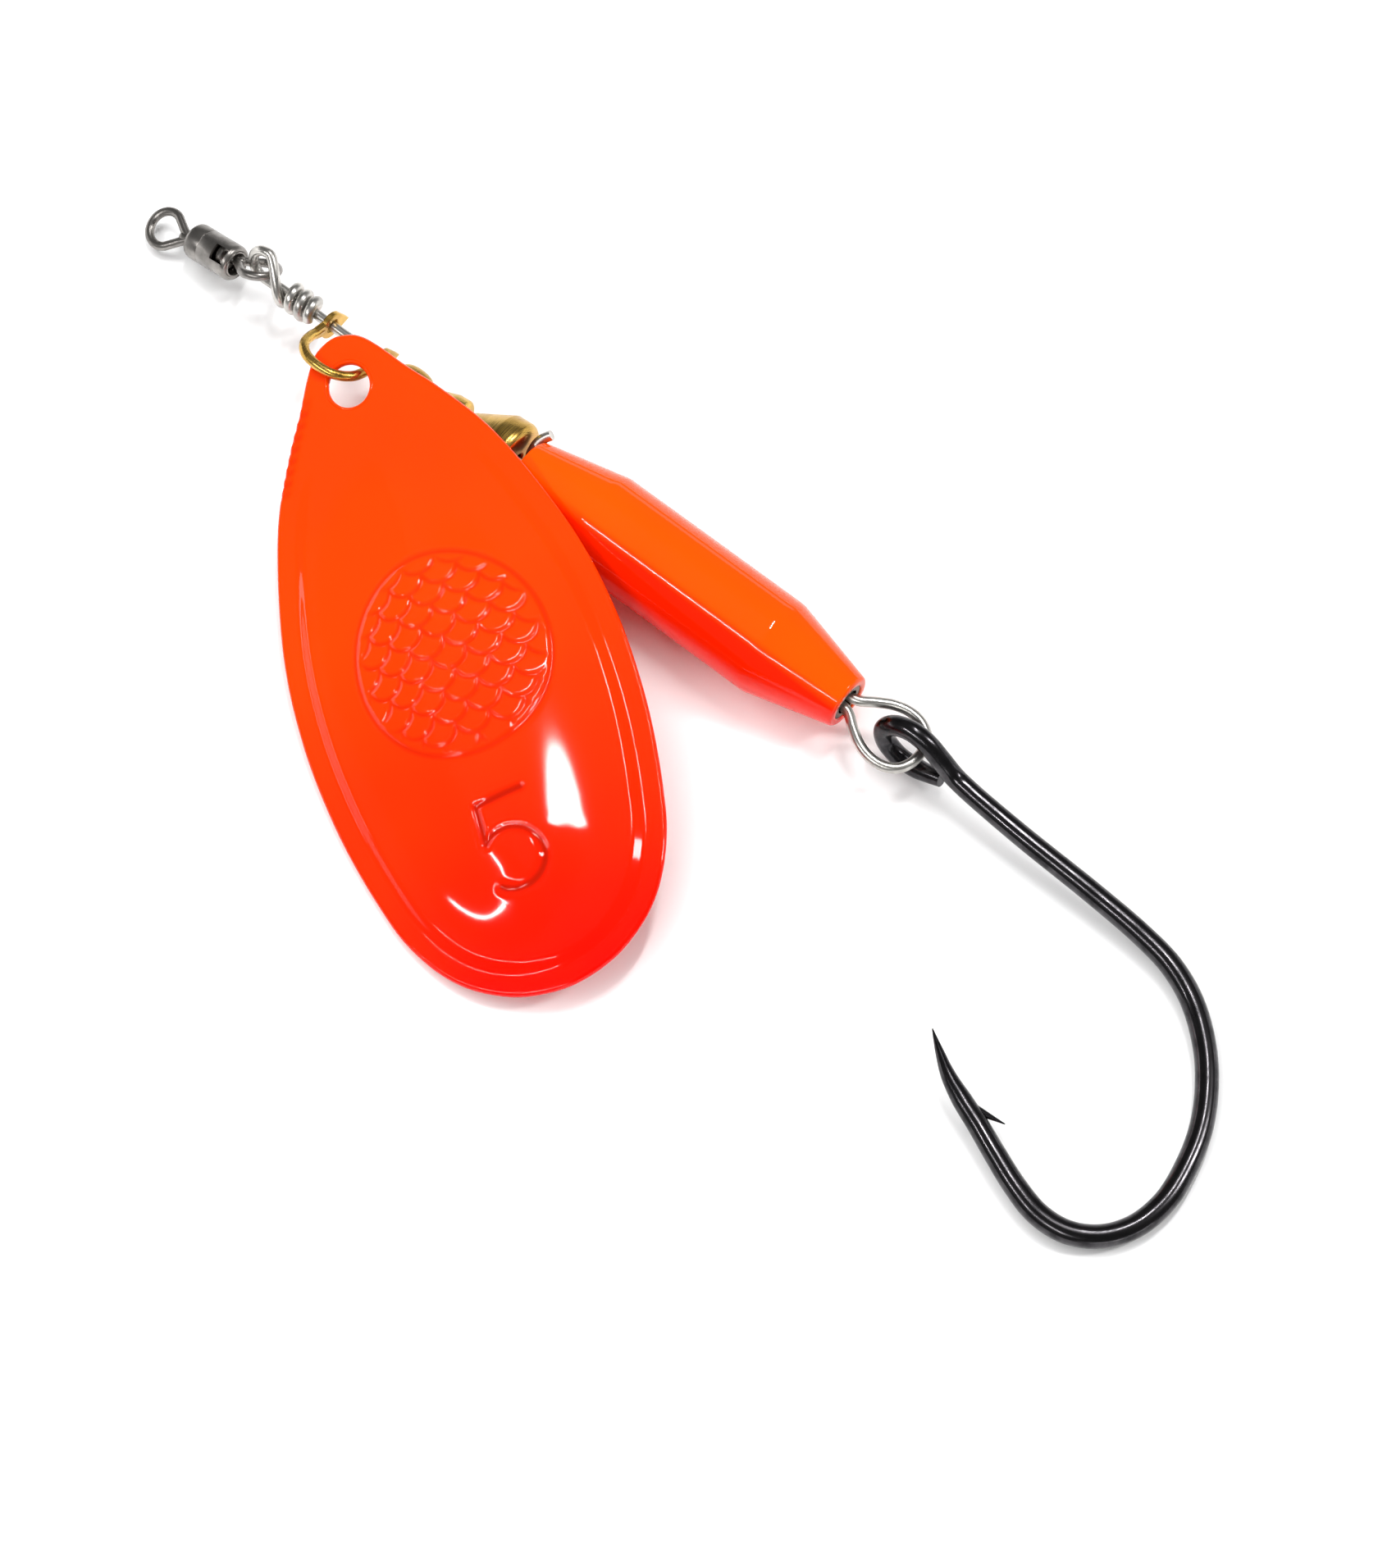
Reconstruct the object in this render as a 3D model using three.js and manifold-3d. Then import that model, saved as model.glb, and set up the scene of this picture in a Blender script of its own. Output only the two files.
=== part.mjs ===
// Inline spinner lying on its side: a bent wire shaft that carries, from front to back, a barrel
// swivel, a stirrup clevis with its blade, three turned bearings, a painted body and one hook.
// Millimetres. +X runs back along the shaft to the hook, +Z is up, and Z = 0 is the table.
import * as THREE from 'three';
import { mergeVertices } from 'three/addons/utils/BufferGeometryUtils.js';
import Module from 'manifold-3d';

const wasm = await Module();
wasm.setup();

const X = new THREE.Vector3(1, 0, 0);
const Y = new THREE.Vector3(0, 1, 0);
const Z = new THREE.Vector3(0, 0, 1);
const DEGREE = Math.PI / 180;

// Driving sizes. The body's rear face is at x = 0 and the shaft's centre line at SHAFT_Z.
const SHAFT_Z = 3.95;
const WIRE_RADIUS = 0.41;
const BODY = { length: 31, radius: 3.95, noseRadius: 2.45, tailRadius: 2.2, boreRadius: 1.05 };
const BODY_STRAIGHT = { from: -23.5, to: -7.5 };
const BEARING_BORE = 0.6;
const BELL = { front: -37.3, rim: -33.9, rear: -32.05, radius: 2.95, noseRadius: 0.95, corner: 0.65 };
const HUB = { front: -41.0, rim: -38.8, rear: -37.45, radius: 1.6, noseRadius: 0.75, corner: 0.45 };
const BEAD = { front: -43.95, rear: -41.15, radius: 1.35 };
const CLEVIS = { x: -48.3, halfWidth: 2.6, corner: 2.3, reach: 4.7, wireRadius: 0.4, tilt: 27 * DEGREE };
const EAR = { thickness: 0.5, radius: 1.15, hole: 0.62, tip: 1.95, neckHalf: 0.42, neckEnd: 1.9 };
const BLADE = { length: 55.3, above: 4.28, width: 25.4, aside: 0.2, thickness: 0.6, dome: 2.7 };
const BLADE_HOLE = { across: 1.6, along: 1.8, centre: [-45.46, -3.8, 5.5] };
const WRAPS = { turns: 3, radius: 0.87, pitch: 0.97, front: -55.4 };
const FRONT_LOOP = { x: -57.8, up: 1.1, radius: 1.28, lean: 20 * DEGREE };
const REAR_LOOP_DROOP = 0.063;
const SWIVEL = { ringRadius: 1.45, wireRadius: 0.36, shankRadius: 0.42, headRadius: 1.0, headLength: 0.5 };
const BARREL = { radius: 1.47, length: 4.7, cavityRadius: 1.2, endHole: 0.86, wall: 0.75 };
const WINDOW = { inset: 0.35, length: 1.3, width: 1.3, turn: 25 * DEGREE };
const HOOK_THROAT = [9.55, 0.6, 2.95];
const HOOK_RADII = { eye: 0.77, shank: 0.8, bend: 0.87, barb: 0.8, tip: 0.05 };

function finish(color, roughness, metalness) {
  return new THREE.MeshStandardMaterial({ color, roughness, metalness });
}

function named(name, geometry, material) {
  const mesh = new THREE.Mesh(geometry, material);
  mesh.name = name;
  return mesh;
}

// A smooth line through hand-placed points, read by point number and not by arc length,
// so that every point gets its own station.
class Route extends THREE.CatmullRomCurve3 {
  getPointAt(u, target) {
    return this.getPoint(u, target);
  }

  getTangentAt(u, target) {
    return this.getTangent(u, target);
  }
}

// A closed round bar: a cylinder whose rings are moved onto the route's stations.
function bentBar(points, radiusAt, sides = 10, stationsPerSpan = 2) {
  const route = new Route(points.map((point) => new THREE.Vector3(...point)), false, 'centripetal');
  const stations = (points.length - 1) * stationsPerSpan;
  const frames = route.computeFrenetFrames(stations, false);
  const bar = new THREE.CylinderGeometry(1, 1, 1, sides, stations);
  const position = bar.attributes.position;
  const vertex = new THREE.Vector3();
  for (let i = 0; i < position.count; i += 1) {
    const along = position.getY(i) + 0.5;
    const station = Math.round(along * stations);
    const radius = radiusAt(along);
    route.getPoint(station / stations, vertex);
    vertex.addScaledVector(frames.binormals[station], position.getX(i) * radius);
    vertex.addScaledVector(frames.normals[station], position.getZ(i) * radius);
    position.setXYZ(i, vertex.x, vertex.y, vertex.z);
  }
  bar.computeVertexNormals();
  return bar;
}

// A turned piece. The outline is a closed Path in (radius, x).
function turned(outline, divisions = 6, sides = 40) {
  return new THREE.LatheGeometry(outline.getPoints(divisions), sides).rotateZ(-Math.PI / 2);
}

// A flat plate that is square to X, from a Shape in (y, z), centred on x.
function plateAcrossX(shape, thickness, x) {
  const plate = new THREE.ExtrudeGeometry(shape, { depth: thickness, bevelEnabled: false, curveSegments: 12 });
  plate.translate(0, 0, -thickness / 2);
  plate.applyMatrix4(new THREE.Matrix4().makeBasis(Y, Z, X));
  return plate.translate(x, 0, 0);
}

function solidOf(geometry) {
  const bare = geometry.clone();
  bare.deleteAttribute('normal');
  bare.deleteAttribute('uv');
  const welded = mergeVertices(bare, 1e-4);
  const vertProperties = new Float32Array(welded.attributes.position.array);
  const triVerts = new Uint32Array(welded.index.array);
  return new wasm.Manifold(new wasm.Mesh({ numProp: 3, vertProperties, triVerts }));
}

function geometryOf(solid) {
  const { vertProperties, triVerts } = solid.getMesh();
  const geometry = new THREE.BufferGeometry();
  geometry.setAttribute('position', new THREE.BufferAttribute(vertProperties, 3));
  geometry.setIndex(new THREE.BufferAttribute(triVerts, 1));
  geometry.computeVertexNormals();
  return geometry;
}

function joined(...geometries) {
  return geometryOf(geometries.map(solidOf).reduce((whole, piece) => whole.add(piece)));
}

// The painted body: a cylinder with a long cone at each end, bored through for the doubled wire.
function bodyGeometry() {
  const { length, radius, noseRadius, tailRadius, boreRadius } = BODY;
  const countersink = 0.45;
  const edge = 0.2;
  const outline = new THREE.Path();
  outline.moveTo(boreRadius, countersink - length);
  outline.lineTo(boreRadius + countersink, -length);
  outline.lineTo(noseRadius - edge, -length);
  outline.quadraticCurveTo(noseRadius, -length, noseRadius, edge - length);
  outline.lineTo(radius - edge / 2, BODY_STRAIGHT.from - edge);
  outline.quadraticCurveTo(radius, BODY_STRAIGHT.from, radius, BODY_STRAIGHT.from + edge);
  outline.lineTo(radius, BODY_STRAIGHT.to - edge);
  outline.quadraticCurveTo(radius, BODY_STRAIGHT.to, radius - edge / 2, BODY_STRAIGHT.to + edge);
  outline.lineTo(tailRadius, -edge);
  outline.quadraticCurveTo(tailRadius, 0, tailRadius - edge, 0);
  outline.lineTo(boreRadius, 0);
  outline.closePath();
  return turned(outline, 3, 40);
}

// The bell and the hub have one shape: a cone, a nearly straight rim and a round corner to a flat rear.
function bellGeometry({ front, rim, rear, radius, noseRadius, corner }) {
  const rimRise = 0.08;
  const outline = new THREE.Path();
  outline.moveTo(BEARING_BORE, front);
  outline.lineTo(noseRadius, front);
  outline.lineTo(radius - rimRise, rim);
  outline.lineTo(radius, rear - corner);
  outline.quadraticCurveTo(radius, rear, radius - corner, rear);
  outline.lineTo(BEARING_BORE, rear);
  outline.closePath();
  return turned(outline, 6, 32);
}

function beadGeometry() {
  const middle = (BEAD.front + BEAD.rear) / 2;
  const faceRadius = 0.85;
  const outline = new THREE.Path();
  outline.moveTo(BEARING_BORE, BEAD.front);
  outline.lineTo(faceRadius, BEAD.front);
  outline.quadraticCurveTo(BEAD.radius, BEAD.front, BEAD.radius, middle);
  outline.quadraticCurveTo(BEAD.radius, BEAD.rear, faceRadius, BEAD.rear);
  outline.lineTo(BEARING_BORE, BEAD.rear);
  outline.closePath();
  return turned(outline, 6, 24);
}

// One flattened ear of the clevis, with its hole for the shaft and a point opposite the bow.
function earGeometry(x) {
  const shape = new THREE.Shape();
  const tangent = 60 * DEGREE;
  shape.moveTo(EAR.tip, 0);
  shape.lineTo(EAR.radius * Math.cos(tangent), EAR.radius * Math.sin(tangent));
  shape.absarc(0, 0, EAR.radius, tangent, Math.PI - tangent / 2, false);
  shape.lineTo(-EAR.neckEnd, EAR.neckHalf);
  shape.lineTo(-EAR.neckEnd, -EAR.neckHalf);
  shape.absarc(0, 0, EAR.radius, Math.PI + tangent / 2, 2 * Math.PI - tangent, false);
  shape.closePath();
  const hole = new THREE.Path();
  hole.absarc(0, 0, EAR.hole, 0, 2 * Math.PI, true);
  shape.holes.push(hole);
  return plateAcrossX(shape, EAR.thickness, x);
}

// The clevis: a U of round wire, reaching towards -Y, that ends in two ears on the shaft.
function clevisGeometry() {
  const { halfWidth, corner, reach, wireRadius } = CLEVIS;
  const legStart = 1.0;
  const points = [[-halfWidth, -legStart, 0], [-halfWidth, -(legStart + reach - corner) / 2, 0]];
  for (let step = 0; step <= 4; step += 1) {
    const angle = (step / 4) * (Math.PI / 2);
    points.push([-halfWidth + corner * (1 - Math.cos(angle)), -(reach - corner + corner * Math.sin(angle)), 0]);
  }
  const mirrored = points.map(([x, y, z]) => [-x, y, z]).reverse();
  const thinned = (along) => wireRadius - 0.12 * Math.max(0, 1 - 12 * Math.min(along, 1 - along));
  const bow = bentBar([...points, ...mirrored], thinned);
  return joined(bow, earGeometry(-halfWidth), earGeometry(halfWidth));
}

// Half of the blade's width at a distance from its upper end, both as shares of the length.
const BLADE_EDGE = [[0, 0], [0.007, 0.11], [0.016, 0.16], [0.036, 0.226], [0.084, 0.35], [0.13, 0.48],
  [0.22, 0.69], [0.35, 0.874], [0.45, 0.965], [0.55, 1], [0.63, 0.993], [0.71, 0.959], [0.8, 0.886],
  [0.855, 0.82], [0.909, 0.704], [0.945, 0.578], [0.972, 0.424], [0.99, 0.258], [1, 0]];

function bladeOutline() {
  const half = BLADE.width / 2;
  const right = BLADE_EDGE.map(([along, share]) => [along * BLADE.length - BLADE.above, share * half, 0]);
  const left = right.slice(1, -1).map(([a, b]) => [a, -b, 0]).reverse();
  const points = [...right, ...left].map((point) => new THREE.Vector3(...point));
  return new THREE.CatmullRomCurve3(points, true, 'centripetal');
}

// How far the blade bulges at a share of the way from the bowl's middle to the edge.
function bulge(share, along) {
  const bowl = THREE.MathUtils.smoothstep(0.9 - share, 0, 0.9) ** 0.75;
  const upper = THREE.MathUtils.smoothstep(along, 2, 24);
  return BLADE.dome * bowl * upper;
}

// The blade in its own frame: x along it from the hole, y across it, z out of its bulging side.
function bladeGeometry() {
  const rings = [0.14, 0.28, 0.42, 0.55, 0.66, 0.76, 0.84, 0.9, 0.96];
  const bowlMiddle = 26;
  const half = BLADE.thickness / 2;
  const lowerSide = [0, ...rings].map((share) => new THREE.Vector2(share, -half));
  const upperSide = [0, ...rings].map((share) => new THREE.Vector2(share, half)).reverse();
  const rim = [new THREE.Vector2(1, -half * 0.6), new THREE.Vector2(1, half * 0.6)];
  const plate = new THREE.LatheGeometry([...lowerSide, ...rim, ...upperSide], 72);
  const outline = bladeOutline();
  const position = plate.attributes.position;
  const edge = new THREE.Vector3();
  for (let i = 0; i < position.count; i += 1) {
    const share = Math.hypot(position.getX(i), position.getZ(i));
    const turn = Math.atan2(position.getX(i), position.getZ(i)) / (2 * Math.PI);
    outline.getPoint((turn + 1) % 1, edge);
    const along = bowlMiddle + (edge.x - bowlMiddle) * share;
    position.setXYZ(i, along, BLADE.aside - edge.y * share, position.getY(i) + bulge(share, along));
  }
  const drill = new THREE.CylinderGeometry(1, 1, 4, 32).rotateX(Math.PI / 2);
  drill.scale(BLADE_HOLE.along, BLADE_HOLE.across, 1);
  return geometryOf(solidOf(plate).subtract(solidOf(drill)));
}

// The shaft wire's route: cut end, wraps, front loop, shaft, rear loop and the turned-out end.
function shaftRoute() {
  const { turns, radius, pitch, front } = WRAPS;
  const perTurn = 8;
  const points = [];
  for (let step = turns * perTurn; step >= 0; step -= 1) {
    const angle = (step / perTurn) * 2 * Math.PI;
    points.push([front + (pitch * step) / perTurn, -radius * Math.cos(angle), -radius * Math.sin(angle)]);
  }
  points.push([-55.75, -0.7, 0.6], [-56.2, -0.3, 1.2], [-56.8, 0.25, 1.75]);
  for (let angle = 80; angle <= 280; angle += 20) {
    const turn = angle * DEGREE;
    const up = FRONT_LOOP.up + FRONT_LOOP.radius * Math.sin(turn);
    const x = FRONT_LOOP.x + FRONT_LOOP.radius * Math.cos(turn);
    points.push([x, up * Math.sin(FRONT_LOOP.lean), up * Math.cos(FRONT_LOOP.lean)]);
  }
  points.push([-56.7, -0.05, -0.1], [-56.0, 0, 0], [-55.3, 0, 0], [-51, 0, 0], [-45, 0, 0], [-39, 0, 0]);
  points.push([-33.4, 0, 0], [-32.5, -0.03, 0], [-31.9, -0.11, 0], [-31.4, -0.24, 0], [-30.9, -0.38, 0]);
  points.push([-30.3, -0.45, 0], [-29, -0.45, 0], [-20, -0.45, 0], [-10, -0.45, 0], [-1, -0.45, 0]);
  const half = [[0.4, 0.6], [1.5, 1.36], [2.75, 2.1], [3.95, 2.4], [5.05, 2.28], [5.95, 1.75], [6.42, 0.9]];
  const droop = (x) => -REAR_LOOP_DROOP * x;
  points.push(...half.map(([x, y]) => [x, -y, droop(x)]), [6.55, 0, droop(6.55)]);
  points.push(...half.map(([x, y]) => [x, y, droop(x)]).reverse());
  points.push([-1, 0.45, 0], [-10, 0.45, 0], [-20, 0.45, 0], [-29, 0.45, 0], [-30.65, 0.45, 0]);
  const bendRadius = 0.85;
  const lift = 35 * DEGREE;
  for (const angle of [22.5, 45, 67.5, 90]) {
    const turn = angle * DEGREE;
    const out = bendRadius * (1 - Math.cos(turn));
    const x = -30.65 - bendRadius * Math.sin(turn);
    points.push([x, 0.45 + out * Math.cos(lift), out * Math.sin(lift)]);
  }
  for (const [x, out] of [[-31.48, 1.6], [-31.25, 2.2], [-30.85, 2.75]]) {
    points.push([x, 0.45 + out * Math.cos(lift), out * Math.sin(lift)]);
  }
  return points;
}

// A frame whose x axis points from one point to another, with its y axis as near as can be to side.
function aimed(from, to, side) {
  const along = new THREE.Vector3().subVectors(to, from).normalize();
  const up = new THREE.Vector3().crossVectors(along, side).normalize();
  const across = new THREE.Vector3().crossVectors(up, along);
  return new THREE.Matrix4().makeBasis(along, across, up).setPosition(from);
}

// A swivel eye in its own frame: a ring round the origin, a shank along +x and a head on its end.
function eyeGeometry(headFrom) {
  const { ringRadius, wireRadius, shankRadius, headRadius, headLength } = SWIVEL;
  const points = [[2.35, 0.12, 0], [1.85, 0.42, 0]];
  for (let angle = 45; angle <= 315; angle += 22.5) {
    points.push([ringRadius * Math.cos(angle * DEGREE), ringRadius * Math.sin(angle * DEGREE), 0]);
  }
  points.push([1.85, -0.42, 0], [2.35, -0.12, 0]);
  const ring = bentBar(points, () => wireRadius);
  const shankFrom = 1.85;
  const shankLength = headFrom + headLength - shankFrom;
  const shank = new THREE.CylinderGeometry(shankRadius, shankRadius, shankLength, 16).rotateZ(Math.PI / 2);
  shank.translate(shankFrom + shankLength / 2, 0, 0);
  const head = new THREE.CylinderGeometry(headRadius, headRadius, headLength, 20).rotateZ(Math.PI / 2);
  head.translate(headFrom + headLength / 2, 0, 0);
  return joined(ring, shank, head);
}

// The swivel barrel, centred on the origin with its axis on x: a tube drawn in at both ends,
// with a short window beside its rear end.
function barrelGeometry() {
  const { radius, length, cavityRadius, endHole, wall } = BARREL;
  const half = length / 2;
  const edge = 0.35;
  const outline = new THREE.Path();
  outline.moveTo(endHole, -half);
  outline.lineTo(radius - edge, -half);
  outline.quadraticCurveTo(radius, -half, radius, edge - half);
  outline.lineTo(radius, half - edge);
  outline.quadraticCurveTo(radius, half, radius - edge, half);
  outline.lineTo(endHole, half);
  outline.lineTo(endHole, half - wall);
  outline.lineTo(cavityRadius, half - wall);
  outline.lineTo(cavityRadius, wall - half);
  outline.lineTo(endHole, wall - half);
  outline.closePath();
  const window = new THREE.BoxGeometry(WINDOW.length, WINDOW.width, 2);
  window.translate(half - WINDOW.inset - WINDOW.length / 2, 0, 1.6);
  window.rotateX(WINDOW.turn);
  return geometryOf(solidOf(turned(outline, 4, 32)).subtract(solidOf(window)));
}

// The hook's route: the eye's open end, the eye, the shank, the bend and the point.
function hookRoute() {
  const throat = new THREE.Vector3(...HOOK_THROAT);
  const yaw = 4 * DEGREE;
  const lean = 8 * DEGREE;
  const along = new THREE.Vector3(Math.cos(yaw), Math.sin(yaw), 0);
  const up = new THREE.Vector3(0, Math.sin(lean), Math.cos(lean));
  const eye = [[-1.0, -1.25], [-2.2, -1.6], [-3.5, -1.85], [-4.9, -1.65], [-6.0, -0.8], [-6.35, 0.45],
    [-5.65, 1.65], [-4.3, 2.25], [-2.9, 2.0], [-1.45, 1.05], [0, 0]];
  const points = eye.map(([u, w]) => throat.clone().addScaledVector(along, u).addScaledVector(up, w).toArray());
  points.push([11.3, 0.45, 2.72], [13.8, 0.3, 2.55], [16.8, 0.18, 2.35], [22.4, 0.08, 1.95]);
  points.push([27.35, -0.18, 1.6], [30.4, -0.68, 1.4], [33.2, -1.9, 1.2], [35.85, -4, 1.05]);
  points.push([37.8, -6.35, 0.95], [39.3, -9, 0.92], [40.2, -11.8, 0.9], [40.65, -15.1, 0.9]);
  points.push([40.1, -18, 0.9], [38.7, -20.1, 0.92], [36.7, -21.35, 1.0], [34.35, -21.65, 1.15]);
  points.push([31.9, -21.1, 1.35], [29.5, -20.2, 1.5], [27.05, -19.2, 1.65], [25.1, -18.5, 1.8]);
  points.push([23.25, -17.7, 1.95], [21.6, -16.65, 2.05], [20.25, -15.7, 2.15]);
  return points;
}

function hookRadiusAt(along) {
  const stops = [[0, 0.6], [0.05, HOOK_RADII.eye], [0.35, HOOK_RADII.shank], [0.5, HOOK_RADII.bend],
    [0.8, HOOK_RADII.bend], [0.875, HOOK_RADII.barb], [0.91, 0.74], [0.94, 0.55], [0.97, 0.31],
    [1, HOOK_RADII.tip]];
  const next = stops.findIndex(([at]) => at >= along);
  const [fromAt, fromRadius] = stops[Math.max(next - 1, 0)];
  const [toAt, toRadius] = stops[next];
  const share = toAt === fromAt ? 0 : (along - fromAt) / (toAt - fromAt);
  return fromRadius + (toRadius - fromRadius) * share;
}

// The barb is a thin sliver, cut up from the inner side of the point.
function barbGeometry() {
  const root = new THREE.Vector3(26.0, -18.55, 1.8);
  const tip = new THREE.Vector3(28.6, -18.0, 1.75);
  const length = root.distanceTo(tip);
  const sliver = new THREE.CylinderGeometry(0.05, 0.42, length, 8).rotateZ(-Math.PI / 2);
  sliver.translate(length / 2, 0, 0);
  return sliver.applyMatrix4(aimed(root, tip, Z));
}

function hookGeometry() {
  return joined(bentBar(hookRoute(), hookRadiusAt, 12), barbGeometry());
}

// The pieces that stand on the shaft's own axis.
function shaftGroup() {
  const group = new THREE.Group();
  group.position.z = SHAFT_Z;
  group.add(named('shaft_wire', bentBar(shaftRoute(), () => WIRE_RADIUS), finish(0xb9b6b2, 0.25, 1)));
  group.add(named('body', bodyGeometry(), finish(0xff3c0a, 0.18, 0)));
  group.add(named('bell', bellGeometry(BELL), finish(0xa8873f, 0.3, 1)));
  group.add(named('hub', bellGeometry(HUB), finish(0xa8873f, 0.3, 1)));
  group.add(named('bearing_bead', beadGeometry(), finish(0xb08f45, 0.3, 1)));
  const clevis = named('clevis', clevisGeometry(), finish(0xc09a45, 0.25, 1));
  clevis.position.x = CLEVIS.x;
  clevis.rotation.x = -CLEVIS.tilt;
  group.add(clevis);
  return group;
}

function bladeMesh() {
  const blade = named('blade', bladeGeometry(), finish(0xff3c0a, 0.15, 0));
  const along = new THREE.Vector3(0.858, -0.511, -0.057).normalize();
  const out = new THREE.Vector3(-0.087, -0.253, 0.964);
  const across = new THREE.Vector3().crossVectors(out, along).normalize();
  out.crossVectors(along, across);
  blade.applyMatrix4(new THREE.Matrix4().makeBasis(along, across, out).setPosition(...BLADE_HOLE.centre));
  return blade;
}

function swivelGroup() {
  const rearRing = new THREE.Vector3(-58.4, 0.15, 4.1);
  const frontRing = new THREE.Vector3(-68.04, -0.57, 1.2);
  const middle = new THREE.Vector3(-62.9, -0.17, 2.47);
  const barrelFront = new THREE.Vector3(-65.25, -0.14, 1.95);
  const rearSide = new THREE.Vector3(0, 0.85, -0.53);
  const frontSide = new THREE.Vector3(0, 0.92, 0.38);
  const group = new THREE.Group();
  const headGap = 0.35;
  const headFrom = (ring) => ring.distanceTo(middle) - BARREL.length / 2 + BARREL.wall + headGap / 2;
  const rear = named('swivel_rear_eye', eyeGeometry(headFrom(rearRing)), finish(0x5d5a58, 0.3, 1));
  rear.applyMatrix4(aimed(rearRing, middle, rearSide));
  const front = named('swivel_front_eye', eyeGeometry(headFrom(frontRing)), finish(0x5d5a58, 0.3, 1));
  front.applyMatrix4(aimed(frontRing, middle, frontSide));
  const barrel = named('swivel_barrel', barrelGeometry(), finish(0x6b6663, 0.35, 1));
  barrel.applyMatrix4(aimed(barrelFront, middle, Y).setPosition(middle));
  group.add(rear, barrel, front);
  return group;
}

const lure = new THREE.Group();
lure.add(shaftGroup(), bladeMesh(), swivelGroup());
lure.add(named('hook', hookGeometry(), finish(0x2c2b2d, 0.2, 1)));

// The origin is the middle of the lure's box, on the table.
lure.updateMatrixWorld(true);
const box = new THREE.Box3().setFromObject(lure, true);
const centre = box.getCenter(new THREE.Vector3());
lure.position.set(-centre.x, -centre.y, -box.min.z);

export default lure;
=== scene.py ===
"""An inline spinner lying on a white table: an orange blade and body on a bent wire shaft, brass
bearings and clevis, a dark barrel swivel and a black nickel hook."""
import math

import bpy
import numpy as np
from mathutils import Matrix, Vector


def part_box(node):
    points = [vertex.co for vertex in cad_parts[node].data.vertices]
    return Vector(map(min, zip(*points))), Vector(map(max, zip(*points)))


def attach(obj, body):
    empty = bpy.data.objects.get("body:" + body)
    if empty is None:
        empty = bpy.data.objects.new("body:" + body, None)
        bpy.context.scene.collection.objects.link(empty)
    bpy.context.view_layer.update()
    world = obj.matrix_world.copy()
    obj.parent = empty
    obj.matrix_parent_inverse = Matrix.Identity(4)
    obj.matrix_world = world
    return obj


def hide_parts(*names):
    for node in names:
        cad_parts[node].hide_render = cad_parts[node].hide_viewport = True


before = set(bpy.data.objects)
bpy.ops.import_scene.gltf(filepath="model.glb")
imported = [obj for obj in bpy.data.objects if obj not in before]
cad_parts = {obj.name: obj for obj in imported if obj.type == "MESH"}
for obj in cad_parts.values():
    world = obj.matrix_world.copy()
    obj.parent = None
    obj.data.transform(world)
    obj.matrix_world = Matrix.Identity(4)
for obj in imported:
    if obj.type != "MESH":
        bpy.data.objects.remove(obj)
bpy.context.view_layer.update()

MM = 0.001
BODY_LOW, BODY_HIGH = (Vector(corner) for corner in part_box("body"))
# The design origin is under the middle of the body's rear face, on the table.
ORIGIN = Vector((BODY_HIGH.x, (BODY_LOW.y + BODY_HIGH.y) / 2, 0))
SHAFT_Z = (BODY_LOW.z + BODY_HIGH.z) / 2 / MM
WIRE_RADIUS = 0.41
SMOOTH_ANGLE = math.radians(38)

BODY = {"length": 31, "radius": 3.95, "nose": 2.45, "tail": 2.2, "bore": 1.05}
BODY_STRAIGHT = (-23.5, -7.5)
BODY_LIP = 0.42
# The redder paint on the body's low side, which faces the blade (-Y and down), is painted shade.
BODY_PAINTED_SHADE_SIDE = Vector((0, -0.94, -0.34))
BODY_AXIS = BODY_PAINTED_SHADE_SIDE.dot(ORIGIN + Vector((0, 0, SHAFT_Z)) * MM)
BEARING_BORE = 0.6
BELL = {"front": -37.3, "rim": -33.9, "rear": -32.05, "radius": 2.95, "nose": 0.95, "corner": 0.65}
HUB = {"front": -41.0, "rim": -38.8, "rear": -37.45, "radius": 1.6, "nose": 0.75, "corner": 0.45}
BEAD = {"front": -43.95, "rear": -41.15, "radius": 1.35}
CLEVIS = {"x": -48.3, "half": 2.6, "corner": 2.3, "reach": 4.7, "wire": 0.4, "tilt": math.radians(27)}
EAR = {"thickness": 0.5, "radius": 1.15, "hole": 0.62, "tip": 1.95, "neck": 0.42, "neck_end": 1.9}
BLADE = {"length": 55.3, "above": 4.28, "width": 25.4, "aside": 0.2, "thickness": 0.6}
# The flat rim ends in a step, and the dome rises inside it: distances are in from the edge.
BLADE_RIM = {"flat": 1.35, "to": 2.5, "step": 0.55}
BLADE_DOME = {"from": 1.6, "to": 11.2, "height": 2.1, "middle": 27.0, "half": 26.0}
BLADE_ROUND = 0.25
BLADE_HOLE = {"across": 1.6, "along": 1.8, "centre": (-45.46, -3.8, 5.5)}
BLADE_ALONG = Vector((0.858, -0.511, -0.057))
BLADE_OUT = Vector((-0.087, -0.253, 0.964))
FIGURE = {"middle": (39.9, 0.1), "depth": 0.24, "stroke": 0.3}
SCALES = {"middle": (24.5, 0.6), "half": (8.2, 7.4), "pitch": 2.7, "depth": 0.13}
FILE_MARKS = {"depth": 0.14, "pitch": 0.8, "reach": 1.0}
WRAPS = {"turns": 3, "radius": 0.87, "pitch": 0.97, "front": -55.4}
FRONT_LOOP = {"x": -57.8, "up": 1.1, "radius": 1.28, "lean": math.radians(20)}
REAR_LOOP_DROOP = 0.063
WIRE_END = {"x": -30.65, "side": 0.45, "bend": 0.85, "lift": math.radians(35)}
RING_RADIUS = 1.45
RING_WIRE = 0.36
BARREL = {"radius": 1.47, "length": 4.7, "cavity": 1.2, "hole": 0.86, "wall": 0.75}
SHANK_RADIUS = 0.42
BARREL_WINDOW = {"inset": 0.35, "length": 1.3, "width": 1.3, "turn": math.radians(25)}
REAR_RING = Vector((-58.4, 0.15, 4.1))
FRONT_RING = Vector((-68.04, -0.57, 1.2))
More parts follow.
